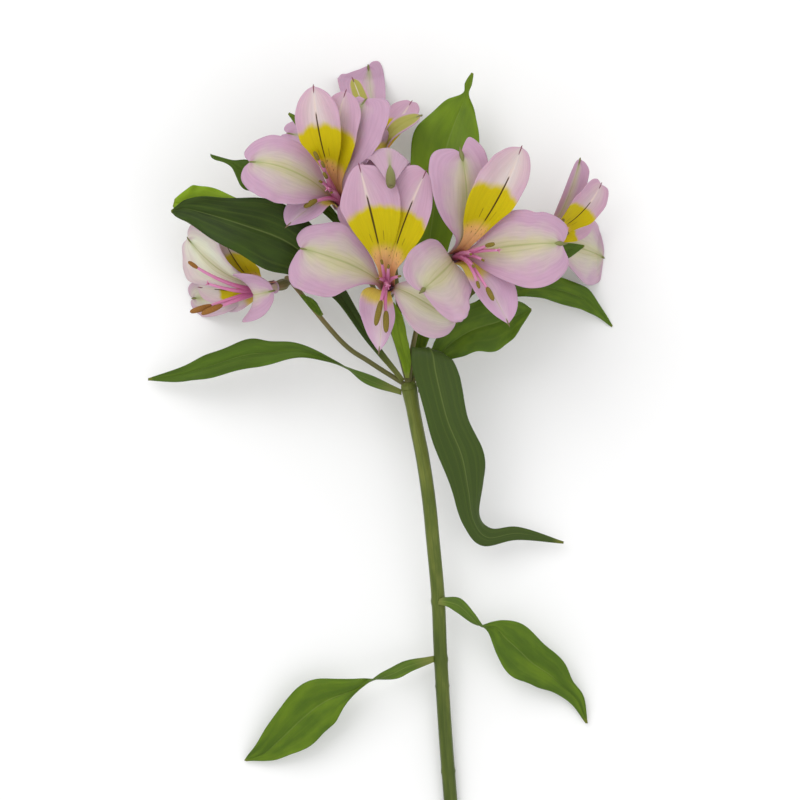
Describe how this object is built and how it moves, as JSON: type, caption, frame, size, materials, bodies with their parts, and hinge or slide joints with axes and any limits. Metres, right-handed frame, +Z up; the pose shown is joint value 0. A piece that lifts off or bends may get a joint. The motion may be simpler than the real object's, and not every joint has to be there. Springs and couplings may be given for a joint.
{
  "type": "alstroemeria stem",
  "caption": "Cut stem of alstroemeria lying down: pink and white blooms with yellow, dark-lined inner tepals on a fan of rays, lance-shaped leaves below them and on the stem.",
  "frame": {"origin": "middle of the lying stem's box, on the surface that it lies on", "axes": "+Y along the stem from its cut end to its head, +Z up from the surface, the way the blooms look, +X to the right of the picture"},
  "size_m": [0.1988, 0.3174, 0.0861],
  "materials": {
    "stem_green": "waxy green stem",
    "leaf_green": "satin green leaf",
    "tepal_pink": "soft matt petal",
    "stamen_pink": "smooth filament with dusty anther"
  },
  "bodies": {
    "root": {"stem": "stem_green", "tepals_upper_left": "tepal_pink", "tepals_centre": "tepal_pink", "tepals_right": "tepal_pink", "tepals_low_left": "tepal_pink", "tepals_low_right": "tepal_pink", "tepals_back": "tepal_pink", "stamens_upper_left": "stamen_pink", "stamens_centre": "stamen_pink", "stamens_right": "stamen_pink", "stamens_low_left": "stamen_pink", "stamens_low_right": "stamen_pink", "stamens_back": "stamen_pink", "leaf_long_left": "leaf_green", "leaf_long_right": "leaf_green", "leaf_left_upper": "leaf_green", "leaf_left_under": "leaf_green", "leaf_left_tip": "leaf_green", "leaf_top_tip": "leaf_green", "leaf_top_right": "leaf_green", "leaf_under_right": "leaf_green", "leaf_far_right": "leaf_green", "leaf_right_tip": "leaf_green", "leaf_centre": "leaf_green", "leaf_bract": "leaf_green", "leaf_low_left": "leaf_green", "leaf_low_right": "leaf_green"}
  },
  "joints": []
}
